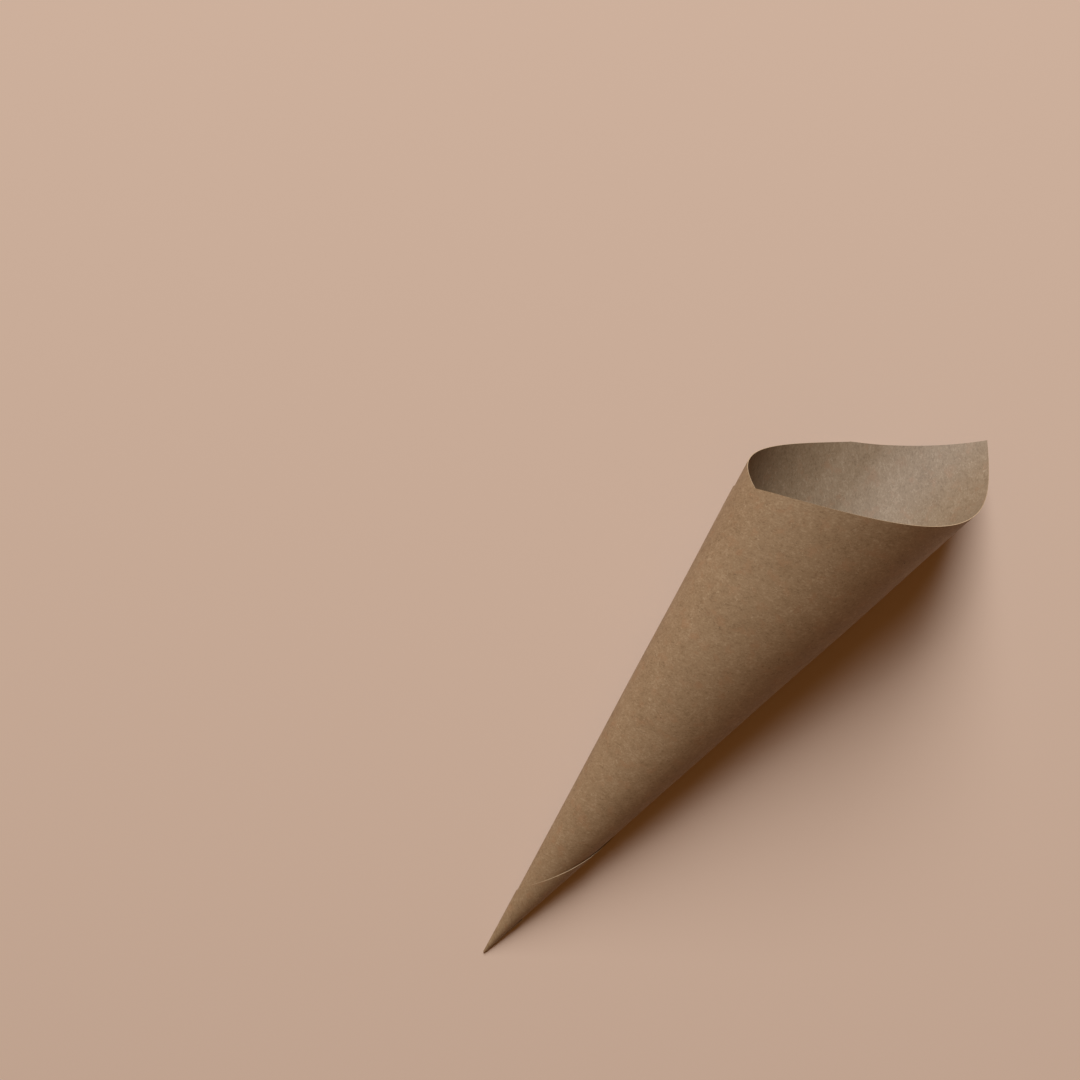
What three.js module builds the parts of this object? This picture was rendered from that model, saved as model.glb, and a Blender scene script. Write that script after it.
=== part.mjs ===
// Kraft paper cone: one flat sheet of kraft paper, rolled up round a point on one of its edges.
// The roll lies on its side on z = 0, its tip towards -Y and its open mouth towards +Y.
// The origin is under the middle of its box. All lengths are in millimetres.
import * as THREE from "three";

// The flat sheet. The tip of the cone is a point on the tip edge, the sheet's lower edge.
const SHEET_HEIGHT = 210; // from the tip edge to the opposite edge
const INNER_REACH = 204; // along the tip edge, from the tip to the corner that starts the roll
const PEAK_REACH = 194.8; // along the opposite edge, to the corner that stands up as the peak
const TAIL_REACH = 22.4; // from the tip to the edge that ends the roll
const TAIL_RISE = 6.7; // how far the tip edge turns up beyond the tip, at the corner that ends the roll
const BULGE_HEIGHT = 157.3; // where the inner edge turns a little, above the tip edge
const BULGE_DEPTH = 2.9; // how far it stands out there from a straight cut
const EDGE_HOLLOW = 1; // how far it is hollow between there and the peak
const PAPER_THICKNESS = 0.25;

// The roll.
const LAYER_GAP = 0.1; // between one turn of paper and the next
const HALF_ANGLE = 9.56; // degrees, from the axis to the side of the cone
const SECTION_RATIO = 0.813; // height of the soft roll over its width
const PEAK_ANGLE = -131.6; // degrees round the roll, from the top over the left side, to the peak
const FLAT_SPOT_ANGLE = 16; // degrees of the turn that lie flat on the table
const TIP_FILL_RATIO = 1.3; // room that a turn leaves inside its tightest bend, over its depth

// Fineness of the faceted solid.
const FACETS_PER_TURN = 64;
const ROWS_PER_RULING = 3;
const UNROLL_STEP = 0.25; // degrees
const SETTLE_PASSES = 4;

const KRAFT_BROWN = 0xa3805f;
const PAPER_ROUGHNESS = 0.85;

const TAU = 2 * Math.PI;
const radians = THREE.MathUtils.degToRad;

const SIDE_SLOPE = Math.tan(radians(HALF_ANGLE));
const TOP_SLOPE = SIDE_SLOPE * SECTION_RATIO;
const FLAT_SLOPE = TOP_SLOPE * Math.cos(radians(FLAT_SPOT_ANGLE / 2));
const TIGHTEST_BEND = TOP_SLOPE ** 2 / SIDE_SLOPE;
const LAYER_PITCH = PAPER_THICKNESS + LAYER_GAP;

// The sheet's sides, from the corner that starts the roll round to the one that ends it. They are
// seen from the tip: x along the tip edge, y up the sheet.
function sheetSides() {
  const innerCorner = new THREE.Vector2(INNER_REACH, 0);
  const peakCorner = new THREE.Vector2(PEAK_REACH, SHEET_HEIGHT);
  const alongInnerEdge = BULGE_HEIGHT / SHEET_HEIGHT;
  const bulgeCorner = innerCorner.clone().lerp(peakCorner, alongInnerEdge);
  bulgeCorner.x += BULGE_DEPTH;
  const outerCorner = new THREE.Vector2(-TAIL_REACH, SHEET_HEIGHT);
  const tailCorner = new THREE.Vector2(-TAIL_REACH, TAIL_RISE);
  return [
    { start: innerCorner, end: bulgeCorner, hollow: 0 },
    { start: bulgeCorner, end: peakCorner, hollow: EDGE_HOLLOW },
    { start: peakCorner, end: outerCorner, hollow: 0 },
    { start: outerCorner, end: tailCorner, hollow: 0 },
  ];
}

// Distance from the tip to the sheet's outline in the flat direction phi.
function outlineDistance(sides, phi) {
  const side = sides.find(({ end }) => end.angle() >= phi) ?? sides[sides.length - 1];
  const along = side.end.clone().sub(side.start);
  const direction = new THREE.Vector2(Math.cos(phi), Math.sin(phi));
  const straight = side.start.cross(along) / direction.cross(along);
  const share = (phi - side.start.angle()) / (side.end.angle() - side.start.angle());
  return straight - side.hollow * 4 * share * (1 - share);
}

// Unit direction of the ruling at a turn angle: 0 is the top, 90 degrees the left side.
function rulingDirection(turn) {
  const side = -SIDE_SLOPE * Math.sin(turn);
  const rise = Math.max(TOP_SLOPE * Math.cos(turn), -FLAT_SLOPE);
  return new THREE.Vector3(side, 1, rise).normalize();
}

// Unit normal of the roll there, pointing out. It is averaged over the bend beside the flat spot.
function outwardNormal(turn) {
  const half = radians(UNROLL_STEP / 2);
  const before = rulingDirection(turn - half);
  const after = rulingDirection(turn + half);
  return rulingDirection(turn).cross(after.sub(before)).normalize();
}

// Table of the turn angle against the flat angle that the rulings sweep, with the peak as its start.
function sweepFromPeak(peakPhi, sense) {
  const table = [{ turn: radians(PEAK_ANGLE), phi: peakPhi }];
  let here = table[0];
  while (here.phi > 0 && here.phi < Math.PI) {
    const turn = here.turn + sense * radians(UNROLL_STEP);
    const swept = rulingDirection(here.turn).angleTo(rulingDirection(turn));
    here = { turn, phi: here.phi + sense * swept };
    table.push(here);
  }
  return table;
}

// Rolls the flat sheet up: both ways between flat angles and turn angles.
function rollUp() {
  const peakPhi = new THREE.Vector2(PEAK_REACH, SHEET_HEIGHT).angle();
  const inwards = sweepFromPeak(peakPhi, -1).reverse();
  const table = [...inwards, ...sweepFromPeak(peakPhi, 1).slice(1)];
  const look = (value, from, to) => {
    let i = 1;
    while (i < table.length - 1 && table[i][from] < value) i += 1;
    const share = (value - table[i - 1][from]) / (table[i][from] - table[i - 1][from]);
    return THREE.MathUtils.lerp(table[i - 1][to], table[i][to], share);
  };
  return {
    turnAt: (phi) => look(phi, "phi", "turn"),
    phiAt: (turn) => look(turn, "turn", "phi"),
  };
}

// The turn angles of the rulings. Each corner's ruling is repeated in every turn, so that the facets
// of neighbouring layers stay parallel and the gap between them stays the same.
function rulingTurns(sides, roll) {
  const step = TAU / FACETS_PER_TURN;
  const corners = [sides[0].start, ...sides.map((side) => side.end)];
  const cornerTurns = corners.map((corner) => roll.turnAt(corner.angle()));
  const start = cornerTurns[0];
  const end = cornerTurns[cornerTurns.length - 1];
  const flatEnds = [-1, 1].map((side) => Math.PI + side * radians(FLAT_SPOT_ANGLE / 2));
  const fixed = [...cornerTurns, ...flatEnds].map((turn) => THREE.MathUtils.euclideanModulo(turn, TAU));
  const apart = (a, b) => Math.abs(THREE.MathUtils.euclideanModulo(a - b + Math.PI, TAU) - Math.PI);
  const even = Array.from({ length: FACETS_PER_TURN }, (_, i) => i * step);
  const free = even.filter((turn) => fixed.every((other) => apart(turn, other) > step / 3));
  const turns = [start, end];
  for (let base = Math.floor(start / TAU) * TAU; base < end; base += TAU) {
    turns.push(...[...fixed, ...free].map((turn) => base + turn));
  }
  const inside = turns.filter((turn) => turn >= start && turn <= end).sort((a, b) => a - b);
  return inside.filter((turn, i) => i === 0 || turn - inside[i - 1] > radians(UNROLL_STEP) / 100);
}

// One ruling of the rolled sheet: points along its outer face and along its inner face.
function rulingPoints(turn, endTurn, sides, roll) {
  const direction = rulingDirection(turn);
  const normal = outwardNormal(turn);
  const outerDepth = (LAYER_PITCH * (endTurn - turn)) / TAU;
  const innerDepth = outerDepth + PAPER_THICKNESS;
  const tipEnd = (TIP_FILL_RATIO * innerDepth) / TIGHTEST_BEND;
  const rimEnd = outlineDistance(sides, roll.phiAt(turn));
  const at = (row, depth) => {
    const distance = THREE.MathUtils.lerp(tipEnd, rimEnd, row / ROWS_PER_RULING);
    return direction.clone().multiplyScalar(distance).addScaledVector(normal, -depth);
  };
  const rows = Array.from({ length: ROWS_PER_RULING + 1 }, (_, row) => row);
  return [...rows.map((row) => at(row, outerDepth)), ...rows.reverse().map((row) => at(row, innerDepth))];
}

// Skins a row of closed sections, and caps the first and the last one.
function loftSections(sections) {
  const size = sections[0].length;
  const index = [];
  for (let i = 0; i < sections.length - 1; i += 1) {
    for (let j = 0; j < size; j += 1) {
      const a = i * size + j;
      const b = i * size + ((j + 1) % size);
      index.push(a, b, a + size, b, b + size, a + size);
    }
  }
  const lastSection = (sections.length - 1) * size;
  for (let j = 0; j < size / 2 - 1; j += 1) {
    const [a, b] = [j, j + 1];
    const [c, d] = [size - 2 - j, size - 1 - j];
    index.push(a, c, b, a, d, c);
    index.push(lastSection + a, lastSection + b, lastSection + c);
    index.push(lastSection + a, lastSection + c, lastSection + d);
  }
  const geometry = new THREE.BufferGeometry().setFromPoints(sections.flat());
  geometry.setIndex(index);
  geometry.computeVertexNormals();
  return geometry;
}

function paperConeGeometry() {
  const sides = sheetSides();
  const roll = rollUp();
  const turns = rulingTurns(sides, roll);
  const endTurn = turns[turns.length - 1];
  return loftSections(turns.map((turn) => rulingPoints(turn, endTurn, sides, roll)));
}

function lowest(points) {
  return points.reduce((low, point) => (point.z < low.z ? point : low));
}

// Lays the roll down until its rim and the turns near its tip both touch the table.
function layDown(geometry) {
  const place = geometry.getAttribute("position");
  for (let pass = 0; pass < SETTLE_PASSES; pass += 1) {
    geometry.computeBoundingBox();
    const middle = geometry.boundingBox.getCenter(new THREE.Vector3()).y;
    const points = Array.from({ length: place.count }, (_, i) => {
      return new THREE.Vector3().fromBufferAttribute(place, i);
    });
    const tipSide = lowest(points.filter((point) => point.y < middle));
    const rimSide = lowest(points.filter((point) => point.y >= middle));
    geometry.rotateX(Math.atan2(tipSide.z - rimSide.z, rimSide.y - tipSide.y));
  }
  geometry.computeBoundingBox();
  const box = geometry.boundingBox;
  const centre = box.getCenter(new THREE.Vector3());
  geometry.translate(-centre.x, -centre.y, -box.min.z);
}

function paperCone() {
  const geometry = paperConeGeometry();
  layDown(geometry);
  const kraft = new THREE.MeshStandardMaterial({
    color: KRAFT_BROWN,
    roughness: PAPER_ROUGHNESS,
    metalness: 0,
  });
  const cone = new THREE.Mesh(geometry, kraft);
  cone.name = "paper_cone";
  return cone;
}

const part = new THREE.Group();
part.add(paperCone());

export default part;
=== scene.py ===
import math

import bpy
import numpy as np
from mathutils import Matrix, Vector


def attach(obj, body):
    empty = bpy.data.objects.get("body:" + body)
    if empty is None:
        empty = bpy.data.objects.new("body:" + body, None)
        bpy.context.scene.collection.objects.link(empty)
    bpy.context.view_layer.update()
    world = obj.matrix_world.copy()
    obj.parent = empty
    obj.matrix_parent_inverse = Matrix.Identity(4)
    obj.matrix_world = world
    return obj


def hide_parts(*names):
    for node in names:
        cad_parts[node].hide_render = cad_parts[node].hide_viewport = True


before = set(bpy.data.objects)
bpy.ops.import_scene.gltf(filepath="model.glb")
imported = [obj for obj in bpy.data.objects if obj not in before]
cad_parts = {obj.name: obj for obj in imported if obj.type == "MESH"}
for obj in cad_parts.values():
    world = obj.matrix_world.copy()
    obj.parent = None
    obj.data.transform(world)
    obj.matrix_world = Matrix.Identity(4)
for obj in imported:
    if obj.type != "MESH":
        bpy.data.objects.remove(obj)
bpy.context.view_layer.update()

# Kraft paper cone: one sheet of kraft paper rolled up round a point on its tip edge, lying on its side.
# The fine sheet made here follows the same roll as the solid that it replaces. Lengths are in metres.
MM = 0.001

# The flat sheet, seen from the tip of the cone: x along the tip edge, y across the sheet.
SHEET_HEIGHT = 210 * MM
INNER_REACH = 204 * MM
PEAK_REACH = 194.8 * MM
TAIL_REACH = 22.4 * MM
TAIL_RISE = 6.7 * MM
BULGE_HEIGHT = 157.3 * MM
BULGE_DEPTH = 2.9 * MM
EDGE_HOLLOW = 1 * MM
HOLLOW_SIDE = 1
PAPER_THICKNESS = 0.25 * MM

# The roll. Towards the tip its layers are pressed together.
LAYER_GAP = 0.1 * MM
HALF_ANGLE = math.radians(9.56)
SECTION_RATIO = 0.813
PEAK_ANGLE = math.radians(-131.6)
FLAT_SPOT_ANGLE = math.radians(16)
TIP_FILL_RATIO = 1.3
PRESSED_REACH = 15 * MM

TAU = 2 * math.pi
SIDE_SLOPE = math.tan(HALF_ANGLE)
TOP_SLOPE = SIDE_SLOPE * SECTION_RATIO
FLAT_SLOPE = TOP_SLOPE * math.cos(FLAT_SPOT_ANGLE / 2)
TIGHTEST_BEND = TOP_SLOPE**2 / SIDE_SLOPE
LAYER_PITCH = PAPER_THICKNESS + LAYER_GAP

# The sheet's last edge springs off the layer below on the right side, where nothing presses on it.
LIFT_HEIGHT = 0.12 * MM
LIFT_WIDTH = 9 * MM
LIFT_TURN = math.radians(285)
LIFT_START = 15 * MM
LIFT_FULL = 21 * MM

# Soft waves in the roll, the same in each of its layers. They die out towards the tip and the table.
WAVE_HEIGHT = 0.3 * MM
WAVE_LENGTHS = (75 * MM, 125 * MM)
WAVES_ROUND = (2, -3)
WAVE_STARTS = (0, 1)

# Fineness of the sheet.
UNROLL_STEP = math.radians(0.25)
COLUMN_STEP = math.radians(2.0)
ROWS = 56
SETTLE_PASSES = 4
SHARP_BEND = math.radians(50)

# The paper's pattern lies on the flat sheet. The inner face takes it from another place.
INNER_FACE_SHIFT = np.array([0.4, 0.1])
CLOUD_SIZE = 14 * MM
RUST_SIZE = 5 * MM
FLOC_SIZE = 2.2 * MM
GRAIN_SIZE = 0.7 * MM
FRAY_SIZE = 0.5 * MM
PALE_FIBRE_SIZE = 2.3 * MM
DARK_FIBRE_SIZE = 1.9 * MM
FIBRE_PATCH_RATIO = 0.8
FIBRE_STRETCH = 1.7
PEPPER_SPACING = 3.2 * MM
PEPPER_RADIUS = 0.22 * MM
PEPPER_COVER = 0.35
FLECK_SPACING = 14 * MM
FLECK_RADIUS = 0.5 * MM
FLECK_COVER = 0.25
RELIEF_HEIGHT = 0.06 * MM
RELIEF_STRENGTH = 0.35

# Each layer of fibres has its own turn, in radians, and its own place on the pattern.
FIBRE_LAYERS = ((0.3, 5.0), (1.2, 9.0), (2.3, 13.0))
PALE_FIBRE_TURN = 0.5
DARK_FIBRE_SHIFT = 1.7
FIBRE_PATCH_SHIFT = 3.0
PEPPER_SHIFT = 21.0
FLECK_SHIFT = 33.0

# The levels of noise between which each mark comes in, out of the whole range from 0 to 1.
PULP_LEVELS = (0.36, 0.5, 0.64)
RUST_LEVELS = (0.52, 0.7)
FIBRE_WIDTH = 0.012
FIBRE_PATCH_LEVELS = (0.5, 0.6)
FRAY_LEVELS = (0.35, 0.65)

# How much each mark counts in the paper's colour and in its relief.
CLOUD_SHARE = 0.2
FLOC_SHARE = 0.4
GRAIN_SHARE = 0.4
RUST_SHARE = 0.5
DARK_FIBRE_SHARE = 0.45
PALE_FIBRE_SHARE = 0.36
PEPPER_SHARE = 0.6
FLECK_SHARE = 0.8
GRAIN_RISE = 0.6
PALE_FIBRE_RISE = 0.5

# Colours, and how rough and glossy each surface is.
KRAFT = (0.272, 0.172, 0.090, 1)
KRAFT_PALE = (0.335, 0.222, 0.125, 1)
KRAFT_DARK = (0.215, 0.130, 0.064, 1)
KRAFT_RUSTY = (0.295, 0.160, 0.078, 1)
FIBRE_PALE = (0.47, 0.34, 0.21, 1)
FIBRE_DARK = (0.13, 0.074, 0.035, 1)
SPECK = (0.02, 0.014, 0.009, 1)
CUT_EDGE = (0.40, 0.29, 0.185, 1)
# Each face's paper colour is multiplied by its tint. The outer face's tint changes nothing; the inner
# face's tint is painted shade and a painted grey sheen, which make the inside of the cone darker and
# greyer.
OUTSIDE_TINT = (1, 1, 1, 1)
INSIDE_PAINTED_SHADE = (0.80, 0.86, 0.96, 1)
PAPER_ROUGHNESS = 0.6
PAPER_GLOSS = 0.5
CUT_ROUGHNESS = 0.9
CUT_GLOSS = 0.2

FLOOR_COLOUR = (0.58, 0.427, 0.33, 1)
FLOOR_ROUGHNESS = 0.95
FLOOR_GLOSS = 0.1
FLOOR_REACH = 6.0

# The photograph: 1080 pixels wide, taken from straight above. A pixel's size is that on the table.
PHOTO_PIXELS = 1080
AXIS_ANGLE = math.radians(53.1)
PIXEL_SIZE = 0.4008 * MM
CAMERA_PLACE = Vector((-84.55, 4.73, 475.9)) * MM

# The light.
LAMP_DISTANCE = 5.0
LAMP_SPREAD = math.radians(32)
LAMP_ELEVATION = math.radians(35)
LAMP_POWER = 412
LAMP_COLOUR = (0.9, 0.95, 1.0)
SKY_COLOUR = (1.0, 0.5, 0.16, 1)
SKY_STRENGTH = 0.18


def sheet_outline():
    """The sheet's corners, from the one that starts the roll round to the one that ends it."""
    inner = np.array([INNER_REACH, 0.0])
    peak = np.array([PEAK_REACH, SHEET_HEIGHT])
    bulge = inner + (peak - inner) * BULGE_HEIGHT / SHEET_HEIGHT
    bulge[0] += BULGE_DEPTH
    outer = np.array([-TAIL_REACH, SHEET_HEIGHT])
    tail = np.array([-TAIL_REACH, TAIL_RISE])
    return np.array([inner, bulge, peak, outer, tail])


def flat_angle(points):
    return np.arctan2(points[..., 1], points[..., 0])


def outline_distance(outline, phi):
    """Distance from the tip to the sheet's outline in each flat direction phi."""
    corner_angles = flat_angle(outline)
    side = np.clip(np.searchsorted(corner_angles, phi, "left") - 1, 0, len(outline) - 2)
    start = outline[side]
    along = outline[side + 1] - start
    across = start[:, 0] * along[:, 1] - start[:, 1] * along[:, 0]
    straight = across / (np.cos(phi) * along[:, 1] - np.sin(phi) * along[:, 0])
    share = (phi - corner_angles[side]) / (corner_angles[side + 1] - corner_angles[side])
    return straight - np.where(side == HOLLOW_SIDE, EDGE_HOLLOW, 0.0) * 4 * share * (1 - share)


def ruling_directions(turns):
    """Unit directions of the rulings: turn 0 is the top, a quarter turn is the left side."""
    side = -SIDE_SLOPE * np.sin(turns)
    rise = np.maximum(TOP_SLOPE * np.cos(turns), -FLAT_SLOPE)
    rays = np.stack([side, np.ones_like(turns), rise], axis=-1)
    return rays / np.linalg.norm(rays, axis=-1, keepdims=True)


def outward_normals(turns):
    half = UNROLL_STEP / 2
    around = ruling_directions(turns + half) - ruling_directions(turns - half)
    normals = np.cross(ruling_directions(turns), around)
    return normals / np.linalg.norm(normals, axis=-1, keepdims=True)


def roll_up(outline):
    """Turn angles and the flat angles that belong to them, well beyond both ends of the sheet."""
    span = 4 * TAU
    turns = PEAK_ANGLE + np.arange(-span, span, UNROLL_STEP)
    rays = ruling_directions(turns)
    steps = np.linalg.norm(np.diff(rays, axis=0), axis=1)
    swept = np.concatenate([[0.0], np.cumsum(steps)])
    phis = swept - np.interp(PEAK_ANGLE, turns, swept) + flat_angle(outline[2])
    return turns, phis


def column_turns(start, end, corners):
    """Even turn angles with the corners' own among them."""
    count = round((end - start) / COLUMN_STEP)
    even = np.linspace(start, end, count + 1)
    clear = np.min(np.abs(even[:, None] - corners[None, :]), axis=1) > COLUMN_STEP / 4
    return np.sort(np.concatenate([even[clear], corners]))


def edge_lift(turns, distance, across):
    """How far the sheet stands off the layer below, at this distance across it from its last edge."""
    nearness = np.clip(1 - across / LIFT_WIDTH, 0.0, 1.0) ** 2
    sideways = np.clip(np.cos(turns - LIFT_TURN), 0.0, 1.0)[:, None] ** 2
    past_tip = np.clip((distance - LIFT_START) / (LIFT_FULL - LIFT_START), 0.0, 1.0)
    return LIFT_HEIGHT * nearness * sideways * past_tip


def wave_height(turns, distance):
    """Outward shift of the roll at each turn angle and distance from the tip."""
    waves = np.zeros_like(distance)
    for length, count, start in zip(WAVE_LENGTHS, WAVES_ROUND, WAVE_STARTS):
        waves += np.sin(TAU * distance / length + count * turns[:, None] + start)
    off_table = ((1 + np.cos(turns)) / 2)[:, None]
    return WAVE_HEIGHT * off_table * distance / SHEET_HEIGHT * waves / len(WAVE_LENGTHS)


def lay_down(points):
    """Turns the roll until its rim and the turns near its tip both touch the table."""
    for _ in range(SETTLE_PASSES):
        middle = (points[:, 1].min() + points[:, 1].max()) / 2
        tip_side = points[points[:, 1] < middle]
        rim_side = points[points[:, 1] >= middle]
        tip_low = tip_side[tip_side[:, 2].argmin()]
        rim_low = rim_side[rim_side[:, 2].argmin()]
        angle = math.atan2(tip_low[2] - rim_low[2], rim_low[1] - tip_low[1])
        points = points @ np.array(Matrix.Rotation(angle, 3, "X")).T
    low, high = points.min(axis=0), points.max(axis=0)
    return points - np.array([(low[0] + high[0]) / 2, (low[1] + high[1]) / 2, low[2]])


def sheet_geometry():
    """Points of the rolled sheet, column by column, and where each lies on the flat sheet."""
    outline = sheet_outline()
    table_turns, table_phis = roll_up(outline)
    corners = np.interp(flat_angle(outline), table_phis, table_turns)
    turns = column_turns(corners[0], corners[-1], corners)
    phis = np.interp(turns, table_turns, table_phis)
    tip_end = TIP_FILL_RATIO * PAPER_THICKNESS / TIGHTEST_BEND
    rim_end = outline_distance(outline, phis)
    share = np.linspace(0.0, 1.0, ROWS + 1)
    distance = tip_end + (rim_end - tip_end)[:, None] * share[None, :]
    flat = np.stack([distance * np.cos(phis)[:, None], distance * np.sin(phis)[:, None]], axis=-1)
    shift = edge_lift(turns, distance, flat[..., 0] + TAIL_REACH) + wave_height(turns, distance)
    pressed = distance / np.hypot(distance, PRESSED_REACH)
    outer_depth = (LAYER_PITCH * (turns[-1] - turns) / TAU)[:, None]
    rays = ruling_directions(turns)[:, None, :]
    normals = outward_normals(turns)[:, None, :]
    faces = []
    for depth in (outer_depth, outer_depth + PAPER_THICKNESS):
        outwards = shift - depth * pressed
        faces.append(rays * distance[..., None] + normals * outwards[..., None])
    points = np.concatenate([face.reshape(-1, 3) for face in faces])
    return lay_down(points), flat.reshape(-1, 2), len(turns)


def sheet_faces(columns):
    """Faces of the closed sheet: those of its outer side, of its inner side and of its four cut edges."""
    rows = ROWS + 1
    index = np.arange(columns * rows).reshape(columns, rows)
    below = index + columns * rows
    a, b = index[:-1, :-1], index[:-1, 1:]
    c, d = index[1:, 1:], index[1:, :-1]
    outer = np.stack([a, b, c, d], axis=-1).reshape(-1, 4)
    inner = outer[:, ::-1] + columns * rows
    borders = (index[:, 0][::-1], index[:, -1], index[0], index[-1][::-1])
    under = (below[:, 0][::-1], below[:, -1], below[0], below[-1][::-1])
    edges = []
    for top, low in zip(borders, under):
        edges.append(np.stack([top[:-1], low[:-1], low[1:], top[1:]], axis=-1))
    return outer, inner, np.concatenate(edges)


def lay_pattern(mesh, flat):
    """Gives each face corner its place on the flat sheet, in metres."""
    loop_points = np.empty(len(mesh.loops), dtype=np.int64)
    mesh.loops.foreach_get("vertex_index", loop_points)
    is_inner = loop_points >= len(flat)
    on_sheet = flat[loop_points % len(flat)] + np.where(is_inner[:, None], INNER_FACE_SHIFT, 0.0)
    layer = mesh.uv_layers.new(name="flat_sheet")
    layer.data.foreach_set("uv", on_sheet.astype(np.float32).ravel())


def add_object(name, mesh):
    shown = bpy.data.objects.new(name, mesh)
    bpy.context.scene.collection.objects.link(shown)
    return shown


def make_sheet():
    points, flat, columns = sheet_geometry()
    parts = sheet_faces(columns)
    faces = np.concatenate(parts)
    mesh = bpy.data.meshes.new("rolled_sheet")
    mesh.from_pydata(points.tolist(), [], faces.tolist())
    lay_pattern(mesh, flat)
    slots = np.repeat(np.arange(len(parts), dtype=np.int32), [len(part) for part in parts])
    mesh.polygons.foreach_set("material_index", slots)
    mesh.polygons.foreach_set("use_smooth", np.ones(len(faces), dtype=bool))
    mesh.set_sharp_from_angle(angle=SHARP_BEND)
    mesh.update()
    mesh.materials.append(kraft_material("kraft_outside", OUTSIDE_TINT))
    # The inner face's material is darkened and greyed by painted shade and sheen.
    mesh.materials.append(kraft_material("kraft_inside_painted_shade", INSIDE_PAINTED_SHADE))
    mesh.materials.append(cut_edge_material())
    return add_object("rolled_sheet", mesh)


class Nodes:
    """Short names for building a material's nodes."""

    def __init__(self, name, roughness, gloss):
        self.material = bpy.data.materials.new(name)
        self.material.use_nodes = True
        self.tree = self.material.node_tree
        self.shader = self.tree.nodes["Principled BSDF"]
        self.shader.inputs["Roughness"].default_value = roughness
        self.shader.inputs["Specular IOR Level"].default_value = gloss

    def add(self, kind, **inputs):
        node = self.tree.nodes.new(kind)
        for key, value in inputs.items():
            self.feed(node.inputs[key], value)
        return node

    def feed(self, socket, value):
        if isinstance(value, bpy.types.NodeSocket):
            self.tree.links.new(value, socket)
        else:
            socket.default_value = value

    def math(self, operation, a, b=0.0):
        node = self.tree.nodes.new("ShaderNodeMath")
        node.operation = operation
        self.feed(node.inputs[0], a)
        self.feed(node.inputs[1], b)
        return node.outputs[0]

    def between(self, value, low, high, to_low=0.0, to_high=1.0):
        """Goes softly from one level to the other as the value goes from low to high."""
        node = self.tree.nodes.new("ShaderNodeMapRange")
        node.interpolation_type = "SMOOTHSTEP"
        limits = (value, low, high, to_low, to_high)
        for socket, limit in zip(node.inputs, limits):
            self.feed(socket, limit)
        return node.outputs[0]

    def mix(self, share, a, b, blend="MIX"):
        node = self.tree.nodes.new("ShaderNodeMix")
        node.data_type = "RGBA"
        node.blend_type = blend
        self.feed(node.inputs["Factor"], share)
        first, second = [socket for socket in node.inputs if socket.type == "RGBA"]
        self.feed(first, a)
        self.feed(second, b)
        return next(socket for socket in node.outputs if socket.type == "RGBA")

    def noise(self, where, size, detail=2.0, roughness=0.5):
        node = self.add("ShaderNodeTexNoise", Vector=where, Scale=1 / size, Detail=detail)
        node.inputs["Roughness"].default_value = roughness
        return node.outputs["Fac"]


def sheet_place(nodes, turn=0.0, stretch=1.0, shift=0.0):
    """A place on the flat sheet in metres, turned and drawn out along the first direction."""
    uv = nodes.add("ShaderNodeUVMap")
    uv.uv_map = "flat_sheet"
    mapping = nodes.add("ShaderNodeMapping", Vector=uv.outputs[0])
    mapping.inputs["Location"].default_value = (shift, shift, shift)
    mapping.inputs["Rotation"].default_value = (0, 0, turn)
    mapping.inputs["Scale"].default_value = (1 / stretch, 1, 1)
    return mapping.outputs[0]


def fibres(nodes, turn, shift, size):
    """Thin short curved lines: level lines of a noise, broken up by a second noise."""
    level = nodes.noise(sheet_place(nodes, turn, FIBRE_STRETCH, shift), size, 1.0)
    from_line = nodes.math("ABSOLUTE", nodes.math("SUBTRACT", level, 0.5))
    line = nodes.between(from_line, 0.0, FIBRE_WIDTH, 1.0, 0.0)
    patch_place = sheet_place(nodes, turn, 1.0, shift + FIBRE_PATCH_SHIFT)
    patch = nodes.noise(patch_place, size * FIBRE_PATCH_RATIO, 1.0)
    return nodes.math("MULTIPLY", line, nodes.between(patch, *FIBRE_PATCH_LEVELS))


def specks(nodes, shift, spacing, radius, cover):
    """Ragged flecks at scattered places: few of the cells hold one, and they differ in size."""
    voronoi = nodes.add("ShaderNodeTexVoronoi", Vector=sheet_place(nodes, 0.3, 1.0, shift))
    voronoi.inputs["Scale"].default_value = 1 / spacing
    pick = nodes.add("ShaderNodeSeparateColor", Color=voronoi.outputs["Color"])
    ragged = nodes.noise(sheet_place(nodes, 0.0, 1.0, shift), radius * 1.5, 2.0)
    reach = nodes.math("MULTIPLY", pick.outputs[1], radius / spacing)
    distance = nodes.math("MULTIPLY", voronoi.outputs["Distance"], nodes.math("ADD", ragged, 0.5))
    inside = nodes.math("LESS_THAN", distance, reach)
    chosen = nodes.math("LESS_THAN", pick.outputs[0], cover)
    return nodes.math("MULTIPLY", inside, chosen)


def pulp_colour(nodes, grain):
    """Cloudy brown with soft flocs, a fine grain and rusty patches."""
    cloudy = nodes.noise(sheet_place(nodes), CLOUD_SIZE, 3.0, 0.55)
    flocs = nodes.noise(sheet_place(nodes, 0.4, 1.3, 1.0), FLOC_SIZE, 3.0, 0.65)
    tone = nodes.math("MULTIPLY", cloudy, CLOUD_SHARE)
    tone = nodes.math("ADD", tone, nodes.math("MULTIPLY", flocs, FLOC_SHARE))
    tone = nodes.math("ADD", tone, nodes.math("MULTIPLY", grain, GRAIN_SHARE))
    low, middle, high = PULP_LEVELS
    colour = nodes.mix(nodes.between(tone, low, middle), KRAFT_DARK, KRAFT)
    colour = nodes.mix(nodes.between(tone, middle, high), colour, KRAFT_PALE)
    rust = nodes.noise(sheet_place(nodes, 0.7, 1.2, 4.0), RUST_SIZE, 3.0, 0.6)
    return nodes.mix(nodes.between(rust, *RUST_LEVELS, 0.0, RUST_SHARE), colour, KRAFT_RUSTY)


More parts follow.
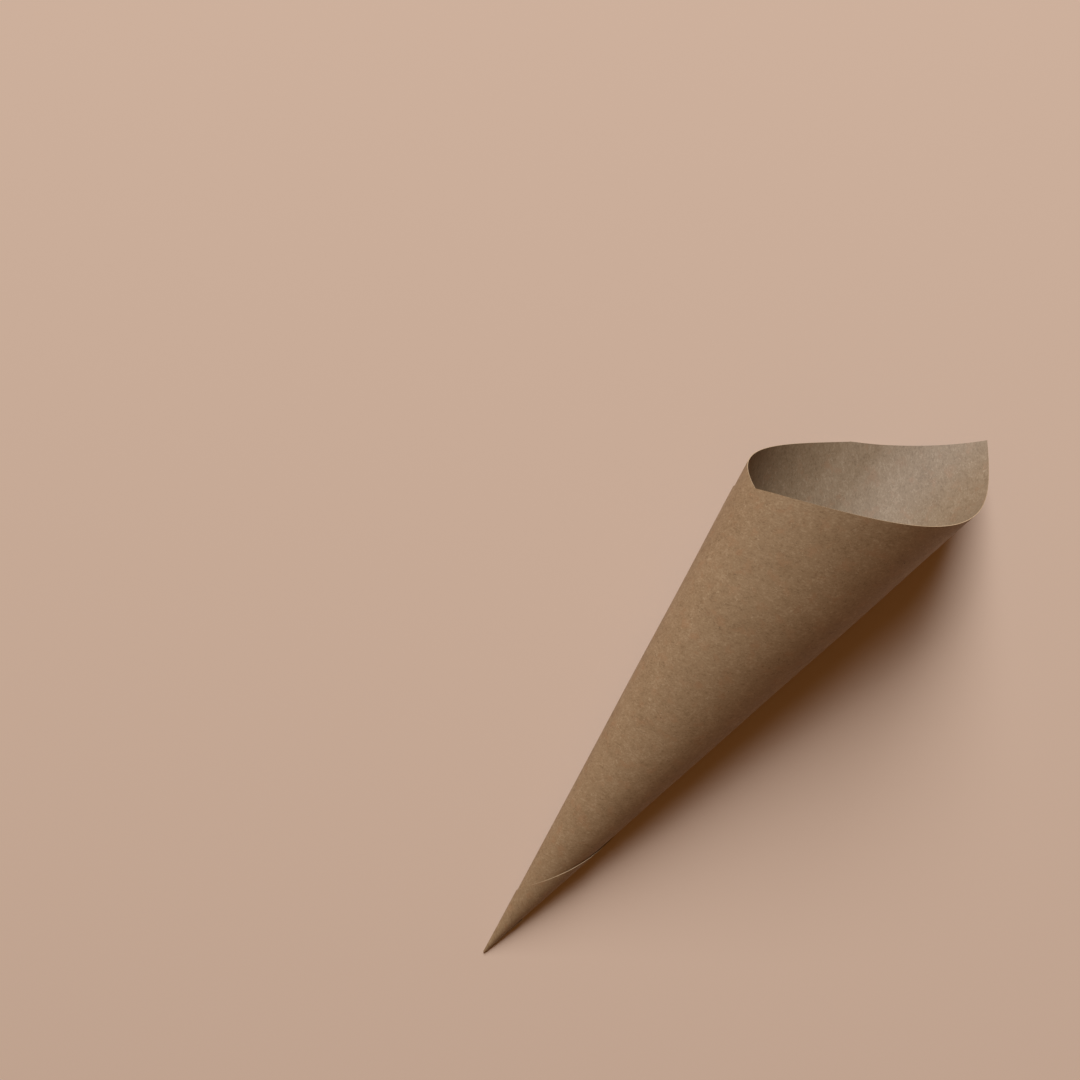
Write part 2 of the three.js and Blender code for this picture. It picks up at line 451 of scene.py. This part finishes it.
def add_fibres(nodes, colour, relief):
    """Lays dark and pale fibres over the pulp. The pale ones stand out a little."""
    for turn, shift in FIBRE_LAYERS:
        dark = fibres(nodes, turn, shift + DARK_FIBRE_SHIFT, DARK_FIBRE_SIZE)
        colour = nodes.mix(nodes.math("MULTIPLY", dark, DARK_FIBRE_SHARE), colour, FIBRE_DARK)
        pale = fibres(nodes, turn + PALE_FIBRE_TURN, shift, PALE_FIBRE_SIZE)
        colour = nodes.mix(nodes.math("MULTIPLY", pale, PALE_FIBRE_SHARE), colour, FIBRE_PALE)
        relief = nodes.math("ADD", relief, nodes.math("MULTIPLY", pale, PALE_FIBRE_RISE))
    return colour, relief


def add_specks(nodes, colour):
    """Lays fine pepper over the paper, and larger flecks further apart."""
    pepper = specks(nodes, PEPPER_SHIFT, PEPPER_SPACING, PEPPER_RADIUS, PEPPER_COVER)
    colour = nodes.mix(nodes.math("MULTIPLY", pepper, PEPPER_SHARE), colour, SPECK)
    flecks = specks(nodes, FLECK_SHIFT, FLECK_SPACING, FLECK_RADIUS, FLECK_COVER)
    return nodes.mix(nodes.math("MULTIPLY", flecks, FLECK_SHARE), colour, SPECK)


def kraft_material(name, side_painted_shade):
    """The paper of one side of the sheet, multiplied by that side's painted shade: none on the outer
    face, a darker and greyer painted shade and sheen on the inner face.
    """
    nodes = Nodes(name, PAPER_ROUGHNESS, PAPER_GLOSS)
    grain = nodes.noise(sheet_place(nodes, 0.2, 1.6, 2.0), GRAIN_SIZE, 2.0, 0.6)
    relief = nodes.math("MULTIPLY", grain, GRAIN_RISE)
    colour, relief = add_fibres(nodes, pulp_colour(nodes, grain), relief)
    # Multiplies in the side's painted shade: darker and greyer on the inner face, none on the outer face.
    colour = nodes.mix(1.0, add_specks(nodes, colour), side_painted_shade, "MULTIPLY")
    nodes.feed(nodes.shader.inputs["Base Color"], colour)
    bump = nodes.add("ShaderNodeBump", Height=relief)
    bump.inputs["Strength"].default_value = RELIEF_STRENGTH
    bump.inputs["Distance"].default_value = RELIEF_HEIGHT
    nodes.feed(nodes.shader.inputs["Normal"], bump.outputs[0])
    return nodes.material


def cut_edge_material():
    nodes = Nodes("cut_edge", CUT_ROUGHNESS, CUT_GLOSS)
    fray = nodes.noise(sheet_place(nodes), FRAY_SIZE, 2.0, 0.6)
    colour = nodes.mix(nodes.between(fray, *FRAY_LEVELS), KRAFT_PALE, CUT_EDGE)
    nodes.feed(nodes.shader.inputs["Base Color"], colour)
    return nodes.material


def make_floor():
    mesh = bpy.data.meshes.new("floor")
    corners = []
    for x, y in ((-1, -1), (1, -1), (1, 1), (-1, 1)):
        corners.append((x * FLOOR_REACH, y * FLOOR_REACH, 0))
    mesh.from_pydata(corners, [], [(0, 1, 2, 3)])
    nodes = Nodes("floor_paper", FLOOR_ROUGHNESS, FLOOR_GLOSS)
    nodes.shader.inputs["Base Color"].default_value = FLOOR_COLOUR
    mesh.materials.append(nodes.material)
    add_object("floor", mesh)


def photo_directions():
    """The photograph's right and up directions on the table."""
    along, left = Vector((0, 1, 0)), Vector((-1, 0, 0))
    right = along * math.cos(AXIS_ANGLE) - left * math.sin(AXIS_ANGLE)
    up = along * math.sin(AXIS_ANGLE) + left * math.cos(AXIS_ANGLE)
    return right, up


def make_camera():
    right, up = photo_directions()
    data = bpy.data.cameras.new("camera")
    data.angle = 2 * math.atan(PHOTO_PIXELS / 2 * PIXEL_SIZE / CAMERA_PLACE.z)
    camera = add_object("camera", data)
    turn = Matrix((right, up, right.cross(up))).transposed()
    camera.matrix_world = Matrix.Translation(CAMERA_PLACE) @ turn.to_4x4()
    bpy.context.scene.camera = camera


def make_lamp():
    """A soft square lamp, far off beyond the photograph's upper edge."""
    up = photo_directions()[1]
    towards = up * math.cos(LAMP_ELEVATION) + Vector((0, 0, math.sin(LAMP_ELEVATION)))
    data = bpy.data.lights.new("lamp", "AREA")
    data.size = 2 * LAMP_DISTANCE * math.tan(LAMP_SPREAD / 2)
    data.energy = LAMP_POWER
    data.color = LAMP_COLOUR
    lamp = add_object("lamp", data)
    lamp.location = towards * LAMP_DISTANCE
    lamp.rotation_euler = towards.to_track_quat("Z", "Y").to_euler()


def make_sky():
    world = bpy.data.worlds.new("studio")
    world.use_nodes = True
    background = world.node_tree.nodes["Background"]
    background.inputs["Color"].default_value = SKY_COLOUR
    background.inputs["Strength"].default_value = SKY_STRENGTH
    bpy.context.scene.world = world


sheet = make_sheet()
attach(sheet, "root")
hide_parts("paper_cone")
make_floor()
make_camera()
make_lamp()
make_sky()
bpy.context.scene.view_settings.view_transform = "Standard"
